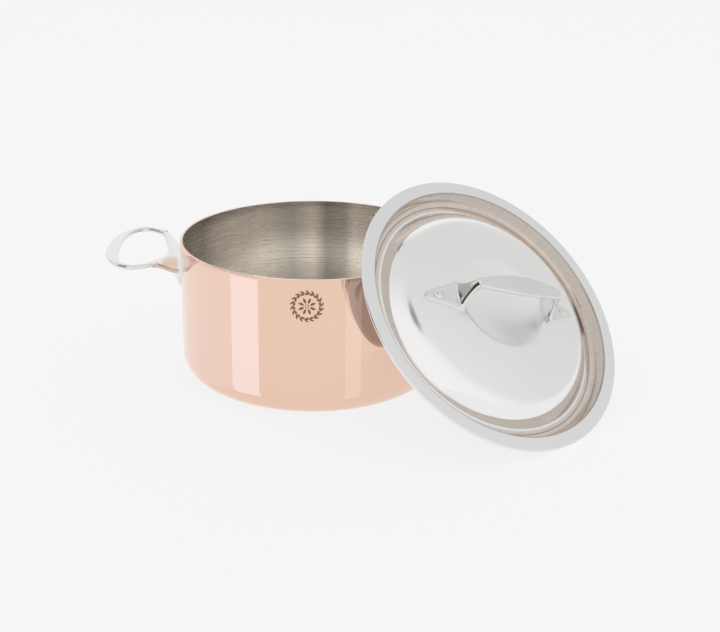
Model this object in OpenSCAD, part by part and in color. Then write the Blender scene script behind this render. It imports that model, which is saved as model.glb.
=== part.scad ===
// Straight-walled copper stewpan with two looped side handles, and its polished
// steel lid, which stands on its edge and leans on the pan's right-hand handle.
// Millimetres. +Z is up, the origin is the centre of the pan's base on the floor,
// -Y is the pan's decorated front and the handles lie near the X axis.

/* [Pan] */
// Outside radius of the pan's wall
pan_r = 102; // [95:0.5:110]
// Height of the rim above the floor
pan_h = 108; // [100:0.5:115]
// Outside radius of the rounded corner between the wall and the base
corner_r = 20; // [12:0.5:24]
// Thickness of the copper
copper_t = 1.8; // [1.5:0.1:2.5]
// Thickness of the steel lining
lining_t = 0.2; // [0.2:0.05:0.5]

/* [Side handles] */
// How far a handle stands out from the wall
loop_reach = 57; // [52:0.5:60]
// Half the length of a loop, measured along the wall
loop_half = 50.6; // [46:0.1:54]
// Width of the strap at the outer end of a loop
strap_end_w = 10.5; // [8:0.5:12]
// Width of the strap at the two sides of a loop
strap_side_w = 4.6; // [4:0.1:7]
// Thickness of the strap
strap_t = 3.4; // [3:0.1:5]
// Height of the loop's top face
loop_top = 101.6; // [97:0.1:103]
// Height at which the top of the foot meets the wall
foot_top = 91; // [86:0.5:95]
// Height of the foot's lower point
foot_tip = 67; // [60:0.5:72]
// Half the width of the foot at its top
foot_half = 26; // [22:0.5:30]
// Turn of the pair of handles about the pan's axis
handle_turn = 0.5; // [0:0.5:5]

/* [Rivets] */
// Radius of a rivet's shank
shank_r = 2.5; // [2:0.1:3]
// Radius of a rivet's head
head_r = 4.2; // [3.6:0.1:5]
// Height of a rivet's domed head
head_h = 1.5; // [1:0.1:2]

/* [Lid] */
// Outside radius of the lid's flange
lid_r = 110; // [107:0.5:112]
// Thickness of the lid's sheet
lid_t = 0.8; // [0.8:0.1:1.2]
// Radial gap between the lid's locating wall and the pan's lining
seat_gap = 0.6; // [0.4:0.1:1.2]
// Depth of the groove around the panel
groove_depth = 9.8; // [9:0.1:11]
// Radius of the finger dish pressed into the middle of the panel
dish_r = 36.6; // [34:0.1:38]
// Height of the dish's rim above the flange
dish_rim_h = 12.2; // [11:0.1:13]
// Depth of the dish below its rim
dish_depth = 4; // [2:0.1:6]

/* [Lid handle] */
// Distance from the lid's centre to a rivet of the lid's handle
lid_rivet_x = 55; // [52:0.5:57]
// Distance from the lid's centre to the tip of a foot
lid_foot_x = 65; // [62:0.5:68]
// Half the length of the raised grip
grip_half = 36.5; // [34:0.5:38]
// Width of the grip at its middle
grip_w = 15.6; // [12:0.2:18]
// Width of the grip at its two ends
grip_end_w = 7.2; // [6:0.2:9]
// Thickness of the grip
grip_t = 4; // [3:0.1:5]
// Height of the grip's ends above the flange
grip_h = 34.5; // [32:0.5:38]
// Rise of the grip's middle above its ends
grip_rise = 3.5; // [2:0.1:5]
// Turn of the handle on the lid, from the line down the slope
handle_spin = 66.9; // [55:0.1:75]

/* [Leaning lid] */
// Slope of the lid
lid_tilt = 45.3; // [45.2:0.1:48]
// Direction in which the lid faces, clockwise from +X
lid_turn = 47; // [46:0.1:49]
// Distance from the pan's axis to the lid's centre along +X
lid_x = 129.9; // [129.9:0.1:134]
// Distance from the pan's axis to the lid's centre along -Y
lid_y = 85.5; // [85.5:0.1:90]

/* [Hidden] */
$fn = 96;
outline_steps = 48;
bore_r = pan_r - copper_t - lining_t;
left_turn = 180 + handle_turn;
right_turn = handle_turn;

// The loop is half an ellipse outside, drawn in to the foot on its wall side.
loop_mid = pan_r + 31;
loop_out = pan_r + loop_reach - loop_mid;
arm_x = loop_mid - 8;
neck_x = pan_r + 16;
neck_half = 43.5;
neck_w = 6.5;
opening_near = pan_r + 9.5;
opening_near_half = 18;

// Rivets of a side handle: [distance along the wall, height].
rivet_half = 15;
rivet_high = foot_top - 5;
rivet_low = foot_tip + 9;
shank_in_foot = 3;

// The panel is a cap of a sphere, dished in the middle, with a shoulder that bends
// down from shoulder_r to the inner edge of the groove.
dome_r = 262;
dome_z = dish_rim_h - sqrt(dome_r * dome_r - dish_r * dish_r);
shoulder_r = 72;
panel_r = 88.3;
panel_edge = 0.3 - groove_depth;
shoulder_bend = (dome_height(dome_r, panel_r) - panel_edge) / pow(panel_r - shoulder_r, 2);
dish_steps = 10;
panel_steps = 24;
seat_r = bore_r - seat_gap - lid_t;
edge_t = 1.6;
floor_gap = 0.16;
lid_z = (lid_r - 0.5) * sin(lid_tilt) + edge_t * cos(lid_tilt) + floor_gap;
lid_foot_t = 2.6;
lid_foot_half = 12.6;
lid_tip_r = 2.6;
leg_foot_x = 42;
leg_l = 5;
leg_mid_h = 23;
leg_mid_half = 5.2;

// The closing head under the sheet stands clear of it by the sheet's own curve.
under_head_h = 1;
under_head_gap = 0.06;

copper_colour = [0.87, 0.55, 0.42];
brushed_colour = [0.62, 0.62, 0.58];
polished_colour = [0.82, 0.82, 0.83];

// Half of the pan's section, drawn in by an inset from its outside.
module pan_half(inset, top) {
    corner = corner_r - inset;
    reach = pan_r - inset;
    translate([0, corner_r]) square([reach, top - corner_r]);
    translate([0, inset]) square([pan_r - corner_r, corner_r]);
    intersection() {
        translate([pan_r - corner_r, corner_r]) circle(corner);
        translate([0, 0]) square([reach + 1, corner_r + 1]);
    }
}

module pan_layer(outer_inset, inner_inset) {
    rotate_extrude()
        difference() {
            pan_half(outer_inset, pan_h);
            pan_half(inner_inset, pan_h + 1);
        }
}

// Places children at a rivet of a side handle, with +Z outwards through the wall.
module at_rivet(turn, place) {
    along = place == "front" ? -rivet_half : place == "back" ? rivet_half : 0;
    height = place == "low" ? rivet_low : rivet_high;
    rotate([0, 0, turn])
        translate([0, along, height])
            rotate([0, 90, 0])
                children();
}

module rivet_holes() {
    for (turn = [left_turn, right_turn], place = ["front", "back", "low"])
        at_rivet(turn, place)
            translate([0, 0, bore_r - 10]) cylinder(r = shank_r, h = 20);
}

module copper_shell() {
    color(copper_colour)
        difference() {
            pan_layer(0, copper_t);
            rivet_holes();
        }
}

module steel_lining() {
    color(brushed_colour)
        difference() {
            pan_layer(copper_t, copper_t + lining_t);
            rivet_holes();
        }
}

// Outline of the loop from above: an elliptic end, then two arms drawn in to the foot.
module loop_outline() {
    polygon(concat(
        [for (i = [0 : outline_steps])
            let (a = -90 + 180 * i / outline_steps)
            [loop_mid + loop_out * cos(a), loop_half * sin(a)]],
        [[arm_x, loop_half - 1.2], [neck_x, neck_half],
         [neck_x, -neck_half], [arm_x, 1.2 - loop_half]]
    ));
}

module opening_outline() {
    side = loop_half - strap_side_w;
    polygon(concat(
        [for (i = [0 : outline_steps])
            let (a = -90 + 180 * i / outline_steps)
            [loop_mid + (loop_out - strap_end_w) * cos(a), side * sin(a)]],
        [[arm_x, side - 2.5], [neck_x, neck_half - neck_w],
         [opening_near, opening_near_half], [opening_near, -opening_near_half],
         [neck_x, neck_w - neck_half], [arm_x, 2.5 - side]]
    ));
}

// The foot spreads from a triangle on the wall up to the two arms of the loop.
module foot_block() {
    hull() {
        translate([pan_r - 6, 0, 0]) rotate([90, 0, 90])
            linear_extrude(6.5)
                polygon([[-foot_half, foot_top], [foot_half, foot_top], [2, foot_tip], [-2, foot_tip]]);
        translate([neck_x, -neck_half, loop_top - strap_t])
            cube([1, 2 * neck_half, strap_t]);
    }
}

module side_handle(turn) {
    color(polished_colour)
        difference() {
            rotate([0, 0, turn])
                difference() {
                    union() {
                        translate([0, 0, loop_top - strap_t])
                            linear_extrude(strap_t) loop_outline();
                        foot_block();
                    }
                    translate([0, 0, foot_tip - 10])
                        linear_extrude(pan_h) opening_outline();
                }
            cylinder(r = pan_r, h = pan_h + 10);
            for (place = ["front", "back", "low"])
                at_rivet(turn, place)
                    cylinder(r = shank_r, h = pan_r + shank_in_foot);
        }
}

module left_side_handle() { side_handle(left_turn); }
module right_side_handle() { side_handle(right_turn); }

// A rivet starts at its tapered head on the lining and ends inside the foot.
module side_rivet(turn, place) {
    color(brushed_colour) {
        at_rivet(turn, place)
            translate([0, 0, bore_r - 1]) cylinder(r = shank_r, h = pan_r + shank_in_foot - bore_r + 1);
        intersection() {
            at_rivet(turn, place)
                translate([0, 0, bore_r - head_h])
                    cylinder(r1 = head_r * 0.6, r2 = head_r, h = head_h);
            cylinder(r = bore_r, h = pan_h);
        }
    }
}

// Height of a sphere about the panel's centre at a given distance from the lid's axis.
function dome_height(radius, r) = dome_z + sqrt(radius * radius - r * r);

// Height of the panel's upper face, and its slope, outside the dish.
function panel_height(r) = dome_height(dome_r, r) - shoulder_bend * pow(max(0, r - shoulder_r), 2);
function panel_slope(r) = r / dome_r + 2 * shoulder_bend * max(0, r - shoulder_r);
function dish_height(r) = dish_rim_h - dish_depth * (1 - pow(r / dish_r, 3));

// Section of the lid's sheet: dish, panel, groove, locating wall and flange.
// The small numbers ease the bends of the pressing.
module sheet_section() {
    dish = [for (i = [0 : dish_steps - 1]) dish_r * i / dish_steps];
    panel = [for (i = [0 : panel_steps]) dish_r + (panel_r - dish_r) * i / panel_steps];
    rim = [
        [panel_r + 1, -groove_depth], [seat_r - 5, -groove_depth], [seat_r - 2.6, 0.2 - groove_depth],
        [seat_r - 1.6, 1.2 - groove_depth], [seat_r, -1], [seat_r + 0.7, 0.3], [seat_r + 2, 0.8],
        [lid_r - 1.2, 0.2], [lid_r - 0.3, 0], [lid_r, -0.4], [lid_r, -edge_t + 0.3],
        [lid_r - 0.5, -edge_t], [lid_r - 1.6, -edge_t + 0.3], [lid_r - 2.2, 0.2 - lid_t],
        [seat_r + 2, 0.8 - lid_t], [seat_r + lid_t + 0.3, -0.6], [seat_r + lid_t, -1.2],
        [seat_r + lid_t - 1.6, 1 - groove_depth], [seat_r - 2, -groove_depth - 0.5],
        [seat_r - 4, -groove_depth - lid_t], [panel_r + 0.5, -groove_depth - lid_t]
    ];
    polygon(concat(
        [for (r = dish) [r, dish_height(r)]],
        [for (r = panel) [r, panel_height(r)]],
        rim,
        [for (i = [panel_steps : -1 : 0])
            let (r = panel[i])
            [r - (i == panel_steps ? 0.5 : 0), panel_height(r) - lid_t * sqrt(1 + pow(panel_slope(r), 2))]],
        [for (i = [dish_steps - 1 : -1 : 0]) [dish[i], dish_height(dish[i]) - lid_t]]
    ));
}

// Places children of the lid's own frame: flange level with z = 0, handle along x.
module lid_place() {
    translate([lid_x, -lid_y, lid_z])
        rotate([0, 0, -lid_turn])
            rotate([0, lid_tilt, 0])
                rotate([0, 0, handle_spin])
                    children();
}

module lid_rivet_holes() {
    for (side = [-1, 1])
        translate([side * lid_rivet_x, 0, -groove_depth]) cylinder(r = shank_r, h = grip_h);
}

module lid_cover() {
    color(polished_colour)
        lid_place()
            difference() {
                rotate_extrude() sheet_section();
                lid_rivet_holes();
            }
}

module lid_foot() {
    linear_extrude(dish_rim_h + lid_foot_t + 1)
        polygon([[leg_foot_x - leg_l, -lid_foot_half], [leg_foot_x - 2, -lid_foot_half],
                 [lid_foot_x - 1, -lid_tip_r], [lid_foot_x, -1], [lid_foot_x, 1],
                 [lid_foot_x - 1, lid_tip_r], [leg_foot_x - 2, lid_foot_half],
                 [leg_foot_x - leg_l, lid_foot_half]]);
}

// A block of a leg: its outer face, length, half width, foot height and height.
module leg_block(x, length, half, z, h) {
    translate([x - length, -half, z]) cube([length, 2 * half, h]);
}

// A leg spreads from the grip's narrow end to the wide inner end of its foot.
module lid_leg() {
    base_z = dome_height(dome_r, leg_foot_x) - 1.5;
    hull() {
        leg_block(leg_foot_x, leg_l, lid_foot_half, base_z, lid_foot_t + 1);
        leg_block(leg_foot_x - 2, leg_l, leg_mid_half, leg_mid_h, 1);
    }
    hull() {
        leg_block(leg_foot_x - 2, leg_l, leg_mid_half, leg_mid_h, 1);
        leg_block(grip_half, 6, grip_end_w / 2, grip_h - grip_t, grip_t);
    }
}

// The grip is a leaf-shaped strap, widest at its middle and arched along its length.
module lid_grip() {
    arc_r = (grip_half * grip_half + grip_rise * grip_rise) / (2 * grip_rise);
    bulge = (grip_w - grip_end_w) / 2;
    side_r = (grip_half * grip_half + bulge * bulge) / (2 * bulge);
    intersection() {
        rotate([90, 0, 0])
            linear_extrude(grip_w + 2, center = true)
                intersection() {
                    translate([0, grip_h + grip_rise - arc_r])
                        difference() {
                            circle(arc_r, $fn = 720);
                            circle(arc_r - grip_t, $fn = 720);
                        }
                    translate([0.5 - grip_half, grip_h - grip_t - 4])
                        square([2 * grip_half - 1, grip_t + grip_rise + 8]);
                }
        linear_extrude(2 * grip_h)
            intersection() {
                translate([0, grip_w / 2 - side_r]) circle(side_r, $fn = 720);
                translate([0, side_r - grip_w / 2]) circle(side_r, $fn = 720);
            }
    }
}

module lid_handle() {
    color(polished_colour)
        lid_place()
            difference() {
                union() {
                    lid_grip();
                    for (side = [0, 180])
                        rotate([0, 0, side]) {
                            lid_leg();
                            intersection() {
                                lid_foot();
                                translate([0, 0, dome_z]) sphere(dome_r + lid_foot_t, $fn = 360);
                            }
                        }
                }
                translate([0, 0, dome_z]) sphere(dome_r, $fn = 360);
                lid_rivet_holes();
            }
}

// A rivet through a foot of the lid's handle: domed head above, closed head below.
module lid_rivet(side) {
    surface_z = dome_height(dome_r, lid_rivet_x);
    lean = asin(lid_rivet_x / dome_r);
    color(brushed_colour)
        lid_place()
            union() {
                translate([side * lid_rivet_x, 0, surface_z - lid_t - 0.5])
                    cylinder(r = shank_r, h = lid_t + lid_foot_t + 1);
                translate([side * lid_rivet_x, 0, surface_z])
                    rotate([0, side * lean, 0])
                        translate([0, 0, lid_foot_t])
                            cylinder(r1 = head_r * 0.95, r2 = head_r * 0.6, h = head_h);
                translate([side * lid_rivet_x, 0, surface_z])
                    rotate([0, side * lean, 0])
                        translate([0, 0, -lid_t - under_head_gap - under_head_h])
                            cylinder(r1 = head_r * 0.8, r2 = head_r, h = under_head_h);
            }
}

module lid_rivet_left() { lid_rivet(-1); }
module lid_rivet_right() { lid_rivet(1); }

copper_shell();
steel_lining();
left_side_handle();
right_side_handle();
for (place = ["front", "back", "low"]) {
    side_rivet(left_turn, place);
    side_rivet(right_turn, place);
}
lid_cover();
lid_handle();
lid_rivet_left();
lid_rivet_right();
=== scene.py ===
"""Looks of a two-handled copper stewpan whose polished steel lid leans on one handle.

Each part of the set is a class that models its pieces with Blender's own editing
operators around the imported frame, gives them their finish and rides them on their body.
Lengths are metres and angles are radians unless a name says degrees.
"""
import logging
import math
from contextlib import contextmanager
from dataclasses import dataclass, field
from enum import Enum
from functools import lru_cache
from typing import Any, Callable, Dict, Iterable, Iterator, List, Sequence, Tuple

import bpy
from mathutils import Matrix, Vector


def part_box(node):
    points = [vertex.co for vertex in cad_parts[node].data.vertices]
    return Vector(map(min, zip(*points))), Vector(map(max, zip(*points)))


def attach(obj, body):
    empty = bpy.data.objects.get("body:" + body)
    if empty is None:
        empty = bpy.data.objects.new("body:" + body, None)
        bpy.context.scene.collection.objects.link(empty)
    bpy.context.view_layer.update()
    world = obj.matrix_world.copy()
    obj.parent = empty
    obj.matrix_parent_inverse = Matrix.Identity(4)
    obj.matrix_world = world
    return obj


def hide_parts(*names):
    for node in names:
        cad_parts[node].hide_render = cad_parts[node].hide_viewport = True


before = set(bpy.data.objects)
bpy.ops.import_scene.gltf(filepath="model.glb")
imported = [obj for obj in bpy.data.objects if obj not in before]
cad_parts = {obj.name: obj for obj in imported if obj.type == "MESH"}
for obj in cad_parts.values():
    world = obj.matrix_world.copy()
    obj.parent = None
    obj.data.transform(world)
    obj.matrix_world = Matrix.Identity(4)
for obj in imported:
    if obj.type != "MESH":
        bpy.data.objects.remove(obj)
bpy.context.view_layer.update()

LOG = logging.getLogger("stewpan")
MM = 0.001
TURN = 2 * math.pi

Point = Tuple[float, float]
Point3 = Tuple[float, float, float]


class Body(Enum):
    """The two bodies of the set, by the names that the frame gives them."""

    PAN = "pan"
    LID = "lid"


# ---------------------------------------------------------------- shader maths


class Sock:
    """An output socket with the usual operators, so that node maths reads as maths."""

    def __init__(self, sheet: "Tree", link: Any) -> None:
        """Wraps a socket.

        Args:
            sheet: the node tree that the node belongs to.
            link: the output socket.
        """
        self.sheet = sheet
        self.link = link

    def _maths(self, operation: str, *values: Any) -> "Sock":
        """One Math node."""
        return self.sheet.node("ShaderNodeMath", dict(operation=operation), dict(enumerate(values)))

    def __add__(self, other: Any) -> "Sock":
        """self + other."""
        return self._maths("ADD", self, other)

    __radd__ = __add__

    def __sub__(self, other: Any) -> "Sock":
        """self - other."""
        return self._maths("SUBTRACT", self, other)

    def __rsub__(self, other: Any) -> "Sock":
        """other - self."""
        return self._maths("SUBTRACT", other, self)

    def __mul__(self, other: Any) -> "Sock":
        """self * other."""
        return self._maths("MULTIPLY", self, other)

    __rmul__ = __mul__

    def __pow__(self, other: Any) -> "Sock":
        """self ** other."""
        return self._maths("POWER", self, other)

    def at_angle(self, other: "Sock") -> "Sock":
        """Angle of the point (other, self) round the origin."""
        return self._maths("ARCTAN2", self, other)

    def above(self, edge: Any) -> "Sock":
        """1 where the value is over edge, else 0."""
        return self._maths("GREATER_THAN", self, edge)


class Tree:
    """A node tree, with short ways to add nodes."""

    def __init__(self, tree: bpy.types.NodeTree) -> None:
        """Wraps a tree.

        Args:
            tree: a material's or the world's node tree.
        """
        self.tree = tree

    def node(self, kind: str, settings: Dict[str, Any], inputs: Dict[Any, Any], output: Any = 0) -> Sock:
        """Adds a node.

        Args:
            kind: the node's type.
            settings: attributes set before any socket; the key "stops" fills a colour ramp.
            inputs: a value or a Sock for each input, by name or number.
            output: name or number of the output wanted.

        Returns:
            The output, wrapped.
        """
        made = self.tree.nodes.new(kind)
        for key, value in settings.items():
            if key == "stops":
                self._fill_ramp(made.color_ramp, value)
            else:
                setattr(made, key, value)
        for key, value in inputs.items():
            self.feed(made.inputs[key], value)
        return Sock(self, made.outputs[output])

    def _fill_ramp(self, ramp: Any, stops: Sequence[Tuple[float, Tuple[float, ...]]]) -> None:
        """Sets a ramp's stops.

        Args:
            ramp: the node's ramp.
            stops: position and RGB of each stop, in order.
        """
        while len(ramp.elements) < len(stops):
            ramp.elements.new(1.0)
        for element, (place, colour) in zip(ramp.elements, stops):
            element.position = place
            element.color = (*colour, 1.0)

    def feed(self, socket: Any, value: Any) -> None:
        """Links a Sock to an input, or sets the input's own value."""
        if isinstance(value, Sock):
            self.tree.links.new(value.link, socket)
        else:
            socket.default_value = value

    def place(self, turn: Sequence[float] = (0, 0, 0), shift: Sequence[float] = (0, 0, 0)) -> Sock:
        """Object coordinates through a Mapping node.

        Args:
            turn: Euler angles in radians.
            shift: move, after the turn.

        Returns:
            The mapped point.
        """
        point = self.node("ShaderNodeTexCoord", {}, {}, "Object")
        return self.node("ShaderNodeMapping", {}, {"Vector": point, "Rotation": turn, "Location": shift})

    def axes(self, point: Sock) -> Tuple[Sock, Sock, Sock]:
        """Splits a point into x, y and z."""
        made = self.tree.nodes.new("ShaderNodeSeparateXYZ")
        self.tree.links.new(point.link, made.inputs[0])
        return tuple(Sock(self, made.outputs[i]) for i in range(3))

    def point(self, x: Any, y: Any, z: Any) -> Sock:
        """Joins x, y and z into a point."""
        return self.node("ShaderNodeCombineXYZ", {}, {0: x, 1: y, 2: z})

    def noise(self, point: Sock, scale: float, detail: float = 2.0, roughness: float = 0.5) -> Sock:
        """Noise from 0 to 1.

        Args:
            point: where it is read.
            scale: cycles per unit.
            detail: octaves.
            roughness: share of the fine octaves.

        Returns:
            The noise value.
        """
        return self.node("ShaderNodeTexNoise", dict(noise_dimensions="3D"),
                         {"Vector": point, "Scale": scale, "Detail": detail, "Roughness": roughness}, "Fac")

    def ramp(self, value: Sock, *stops: Tuple[float, Tuple[float, ...]]) -> Sock:
        """A colour read from a row of stops.

        Args:
            value: where the ramp is read, from 0 to 1.
            stops: position and RGB of each stop, in order.

        Returns:
            The colour.
        """
        return self.node("ShaderNodeValToRGB", dict(stops=stops), {"Fac": value})

    def facing(self, direction: Sock, axis: Sequence[float]) -> Sock:
        """Dot product of a direction with a fixed axis."""
        settings = dict(operation="DOT_PRODUCT")
        return self.node("ShaderNodeVectorMath", settings, {0: direction, 1: axis}, "Value")

    def mean(self, colour: Sock) -> Sock:
        """Mean of a colour's three channels."""
        return self.facing(colour, (1 / 3, 1 / 3, 1 / 3))

    def round_axis(self, point: Sock) -> Tuple[Sock, Sock, Sock]:
        """Radius, angle and height of a point round the Z axis."""
        x, y, z = self.axes(point)
        return (x * x + y * y) ** 0.5, y.at_angle(x), z

    def blend(self, factor: Any, low: Any, high: Any) -> Sock:
        """Mixes two colours.

        Args:
            factor: 0 gives low and 1 gives high.
            low: an RGBA colour or a Sock.
            high: an RGBA colour or a Sock.

        Returns:
            The mixed colour.
        """
        return self.node("ShaderNodeMix", dict(data_type="RGBA"), {0: factor, 6: low, 7: high}, 2)

    def bump(self, height: Sock, strength: float, distance: float) -> Sock:
        """A bump's normal.

        Args:
            height: the relief, from 0 to 1.
            strength: how much of the bump shows.
            distance: the relief's depth in metres.

        Returns:
            The bent normal.
        """
        return self.node("ShaderNodeBump", {}, {"Height": height, "Strength": strength, "Distance": distance})


class Sheet(Tree):
    """The node sheet of one material."""

    def __init__(self, name: str) -> None:
        """Starts a material with a bare Principled shader.

        Args:
            name: the material's name.
        """
        self.material = bpy.data.materials.new(name)
        self.material.use_nodes = True
        super().__init__(self.material.node_tree)
        self.shader = self.tree.nodes["Principled BSDF"]

    def set(self, **values: Any) -> None:
        """Feeds the shader's inputs; a name's underscores stand for spaces."""
        for key, value in values.items():
            self.feed(self.shader.inputs[key.replace("_", " ")], value)


# ---------------------------------------------------------------- finishes


@dataclass(frozen=True)
class MetalFinish:
    """A polished metal, with slight clouds in its colour and gloss and a faint wave in its face."""

    name: str
    slot: str
    colour: Point3
    tint: Point3
    roughness: float
    roughness_spread: float
    cloud_scale: float
    wave_depth: float
    wave_scale: float

    def build(self) -> bpy.types.Material:
        """Makes the material."""
        sheet = Sheet(self.name)
        point = sheet.place()
        cloud = sheet.noise(point, self.cloud_scale, 4.0, 0.55)
        wave = sheet.noise(point, self.wave_scale, 2.0, 0.4)
        sheet.set(
            Base_Color=sheet.blend(cloud, (*self.tint, 1.0), (*self.colour, 1.0)),
            Metallic=1.0,
            Roughness=self.roughness + (cloud - 0.5) * self.roughness_spread,
            Normal=sheet.bump(wave, 1.0, self.wave_depth),
        )
        return sheet.material


@dataclass(frozen=True)
class BoreFinish:
    """Brushed steel lining: fine turned lines, and painted reflections: upright stripes of light and dark
    tone that stand in for a studio's reflections.

    Each stop's position is a share of a full turn from the X axis, and its shade runs from dark to light.
    """

    name: str = "brushed_bore_painted_reflections"
    slot: str = "brushed_steel"
    # Darkest and brightest ends of the blend; most of the spread between them is painted reflection.
    dark: Point3 = (0.25, 0.25, 0.24)
    light: Point3 = (1.0, 0.955, 0.90)
    roughness: float = 0.27
    roughness_spread: float = 0.14
    line_scale: float = 900.0
    line_depth: float = 0.0015 * MM
    line_contrast: float = 0.12
    # The upright streaks of random tone round the axis are painted reflections.
    painted_reflection_streak_scale: float = 9.0
    painted_reflection_streak_contrast: float = 0.16
    anisotropy: float = 0.7
    # Painted reflections: stops of light and dark round the bore, set in the base colour where a studio's
    # reflections would fall.
    painted_reflection_bands: Tuple[Point, ...] = (
        (0.0, 0.55), (0.12, 0.80), (0.178, 1.0), (0.194, 1.0), (0.206, 0.37), (0.232, 0.15), (0.250, 0.72),
        (0.280, 0.51), (0.306, 0.84), (0.325, 0.98), (0.361, 0.90), (0.389, 0.76), (0.420, 0.60),
        (0.445, 0.76), (0.6, 0.55), (0.72, 0.8), (0.85, 0.5), (1.0, 0.55),
    )

    def build(self) -> bpy.types.Material:
        """Makes the material."""
        sheet = Sheet(self.name)
        radius, angle, z = sheet.round_axis(sheet.place())
        lines = sheet.point(radius * self.line_scale, angle * 1.5, z * self.line_scale)
        turned = sheet.noise(lines, 1.0, 3.0, 0.65)
        # Painted reflection: upright streaks of random tone round the axis.
        painted_reflection_streak = sheet.noise(sheet.point(angle * self.painted_reflection_streak_scale, z * 2.0, radius), 1.0, 3.0, 0.55)
        share = angle * (1 / TURN)
        share = share + 1.0 - share.above(0.0)
        # Painted reflection: light and dark stops read round the axis and put into the base colour.
        painted_reflection = sheet.ramp(share, *[(spot, (shade, shade, shade)) for spot, shade in self.painted_reflection_bands])
        level = sheet.mean(painted_reflection) + (turned - 0.5) * self.line_contrast + (painted_reflection_streak - 0.5) * self.painted_reflection_streak_contrast
        sheet.set(
            Base_Color=sheet.blend(level, (*self.dark, 1.0), (*self.light, 1.0)),
            Metallic=1.0,
            Roughness=self.roughness + (turned - 0.5) * self.roughness_spread,
            Anisotropic=self.anisotropy,
            Normal=sheet.bump(turned, 1.0, self.line_depth),
        )
        return sheet.material


@dataclass(frozen=True)
class LidFinish:
    """Polished sheet: satin panel, clear flange, groove with fine spokes and a brownish painted reflection,
    painted shade lines in its creases, and a duller underside with painted shade.
    """

    axis: Point3
    turn: Point3
    shift: Point3
    name: str = "polished_sheet_painted_shade_and_reflection"
    slot: str = "polished_steel"
    radius: float = 110 * MM
    panel: Point3 = (0.90, 0.895, 0.89)
    # Groove colour: its brownish tone is a painted reflection.
    groove: Point3 = (0.74, 0.665, 0.60)
    # Crease colour: painted shade, dark lines at the groove's bottom and at the flange's inner edge.
    crease_painted_shade: Point3 = (0.20, 0.17, 0.15)
    flange: Point3 = (0.86, 0.86, 0.86)
    # Underside colour: darker than the top, painted shade under the lid.
    under: Point3 = (0.44, 0.40, 0.375)
    groove_start: float = 90.5 * MM
    groove_end: float = 100 * MM
    under_end: float = 104 * MM
    under_dulling: float = 0.12
    spoke_scale: float = 160.0
    spoke_contrast: float = 0.5
    turned_scale: float = 620.0

    def _by_radius(self, sheet: Sheet, radius: Sock, stops: Sequence[Tuple[float, Point3]]) -> Sock:
        """A colour that depends on the distance from the lid's axis.

        Args:
            sheet: the material's sheet.
            radius: the distance.
            stops: distance in millimetres and RGB of each stop, in order.

        Returns:
            The colour.
        """
        shares = [(spot * MM / self.radius, colour) for spot, colour in stops]
        return sheet.ramp(radius * (1 / self.radius), *shares)

    def build(self) -> bpy.types.Material:
        """Makes the material."""
        sheet = Sheet(self.name)
        point = sheet.place(turn=self.turn, shift=self.shift)
        radius, angle, z = sheet.round_axis(point)
        # Colour by radius: the groove and locating wall carry the brownish painted reflection, and the two
        # crease stops are painted shade lines.
        zones = self._by_radius(sheet, radius, (
            (0, self.panel), (90.0, self.panel), (91.0, self.groove), (92.9, self.groove),
            (93.3, self.crease_painted_shade), (93.9, self.groove), (99.0, self.groove),
            (99.5, self.crease_painted_shade), (100.2, self.flange), (110, self.flange),
        ))
        rough = self._by_radius(sheet, radius, (
            (0, (0.26,) * 3), (74, (0.24,) * 3), (81, (0.10,) * 3), (100, (0.10,) * 3),
            (101, (0.16,) * 3), (110, (0.16,) * 3),
        ))
        spokes = sheet.noise(sheet.point(angle * self.spoke_scale, radius * 8.0, z * 8.0), 1.0, 2.0, 0.6)
        turned = sheet.noise(sheet.point(radius * self.turned_scale, angle * 1.2, 0.0), 1.0, 3.0, 0.6)
        cloud = sheet.noise(point, 12.0, 3.0, 0.5)
        in_groove = radius.above(self.groove_start) * (1 - radius.above(self.groove_end))
        shade = 1 - in_groove * (spokes - 0.45) * self.spoke_contrast
        shade = shade - (turned - 0.5) * 0.012 - (cloud - 0.5) * 0.05
        top = sheet.node("ShaderNodeMix", dict(data_type="RGBA", blend_type="MULTIPLY"),
                         {0: 1.0, 6: zones, 7: sheet.point(shade, shade, shade)}, 2)
        # The underside gets the darker under colour, which is painted shade, and a duller gloss.
        normal = sheet.node("ShaderNodeTexCoord", {}, {}, "Normal")
        underside = (0.0 - sheet.facing(normal, self.axis)).above(0.15)
        underside = underside * (1 - radius.above(self.under_end))
        sheet.set(
            Base_Color=sheet.blend(underside, top, (*self.under, 1.0)),
            Metallic=1.0,
            Roughness=sheet.mean(rough) + (turned - 0.5) * 0.02 + underside * self.under_dulling,
        )
        return sheet.material


@dataclass(frozen=True)
class EtchedFinish:
    """Dull brown oxide of an etched mark on polished copper."""

    name: str = "etched_copper"
    slot: str = "polished_copper"
    colour: Point3 = (0.20, 0.085, 0.042)
    light: Point3 = (0.34, 0.15, 0.075)
    roughness: float = 0.52

    def build(self) -> bpy.types.Material:
        """Makes the material."""
        sheet = Sheet(self.name)
        grain = sheet.noise(sheet.place(), 1400.0, 3.0, 0.6)
        sheet.set(
            Base_Color=sheet.blend(grain, (*self.colour, 1.0), (*self.light, 1.0)),
            Metallic=0.35,
            Roughness=self.roughness + (grain - 0.5) * 0.2,
            Normal=sheet.bump(grain, 0.6, 0.02 * MM),
        )
        return sheet.material


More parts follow.
